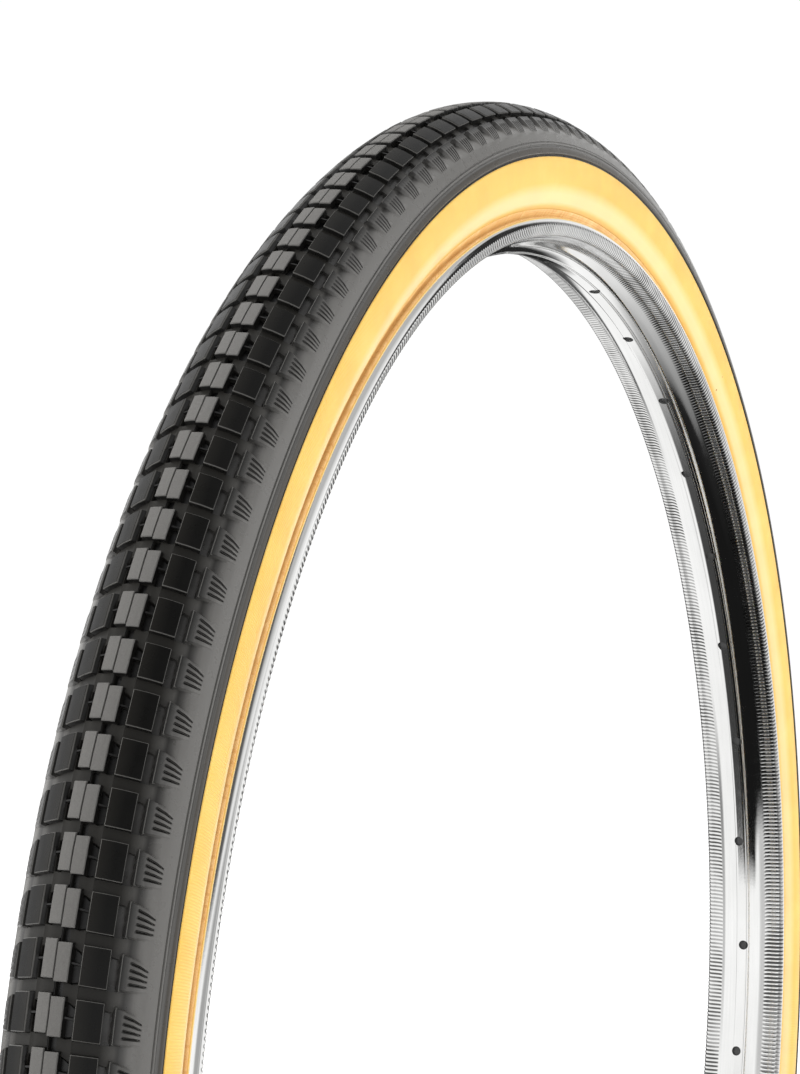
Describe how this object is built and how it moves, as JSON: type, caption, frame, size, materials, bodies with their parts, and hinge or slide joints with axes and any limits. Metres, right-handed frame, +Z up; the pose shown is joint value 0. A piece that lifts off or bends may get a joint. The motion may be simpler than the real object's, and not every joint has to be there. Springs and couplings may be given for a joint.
{
  "type": "bicycle tyre on rim",
  "caption": "Block-tread clincher tyre with gum sidewalls, seated on a rolled-edge chrome steel rim with inner tube and screw-capped valve.",
  "frame": {"origin": "the wheel's centre: on the axle line, in the mid plane of the tyre", "axes": "+Y along the axle towards the wheel's left side, +Z up, the valve at the bottom on -Z"},
  "size_m": [0.7179, 0.0444, 0.718],
  "materials": {
    "tread_rubber": "black moulded tread rubber, satin",
    "gum_rubber": "yellow gum rubber, finely ribbed, semi-gloss",
    "breaker_fabric": "rubberised woven strip",
    "casing_fabric": "rubberised cord ply",
    "chafer_fabric": "rubberised chafer cloth, orange-brown",
    "bead_steel": "coppered steel wire",
    "butyl_rubber": "matt butyl rubber",
    "tape_rubber": "plain rubber band",
    "rim_chrome": "bright chromium plate",
    "valve_nickel": "nickel-plated brass",
    "core_brass": "turned brass",
    "seal_rubber": "sealing rubber",
    "spring_steel": "steel spring wire",
    "cap_plastic": "black moulded plastic"
  },
  "bodies": {
    "wheel": {"tread_cap": "tread_rubber", "breaker_strip": "breaker_fabric", "outer_casing_ply": "casing_fabric", "inner_casing_ply": "casing_fabric", "left_sidewall": "gum_rubber", "right_sidewall": "gum_rubber", "left_bead_wire": "bead_steel", "right_bead_wire": "bead_steel", "left_chafer": "chafer_fabric", "right_chafer": "chafer_fabric", "inner_tube": "butyl_rubber", "tube_valve_base": "butyl_rubber", "valve_stem": "valve_nickel", "core_barrel": "core_brass", "core_gasket": "seal_rubber", "core_spring": "spring_steel", "rim_tape": "tape_rubber", "rim": "rim_chrome"},
    "core_pin": {"core_pin": "core_brass", "pin_seal": "seal_rubber", "pin_cup": "core_brass"},
    "cap_seal": {"cap_seal": "seal_rubber"},
    "valve_cap": {"valve_cap": "cap_plastic"},
    "rim_washer": {"rim_washer": "valve_nickel"},
    "rim_nut": {"rim_nut": "valve_nickel"}
  },
  "joints": [
    {"name": "pin_press", "type": "slide", "parent": "wheel", "child": "core_pin", "axis": [0, 0, -1], "range_m": [0, 0.0013], "stiffness_N_per_m": 400, "deforming": ["core_spring"]},
    {"name": "cap_lift", "type": "slide", "parent": "wheel", "child": "cap_seal", "axis": [0, 0, 1], "range_m": [0, 0.00635]},
    {"name": "cap_turn", "type": "hinge", "parent": "cap_seal", "child": "valve_cap", "pos_m": [0, 0, -0.272], "axis": [0, 0, 1], "range_deg": [0, 2880.1]},
    {"name": "nut_lift", "type": "slide", "parent": "wheel", "child": "rim_washer", "axis": [0, 0, 1], "range_m": [0, 0.01984]},
    {"name": "nut_turn", "type": "hinge", "parent": "rim_washer", "child": "rim_nut", "pos_m": [0, 0, -0.302], "axis": [0, 0, 1], "range_deg": [0, 9000.1]}
  ],
  "couplings": [
    {"joint": "cap_turn", "follows": "cap_lift", "rad_per_m": 7915.8},
    {"joint": "nut_turn", "follows": "nut_lift", "rad_per_m": 7915.8}
  ]
}
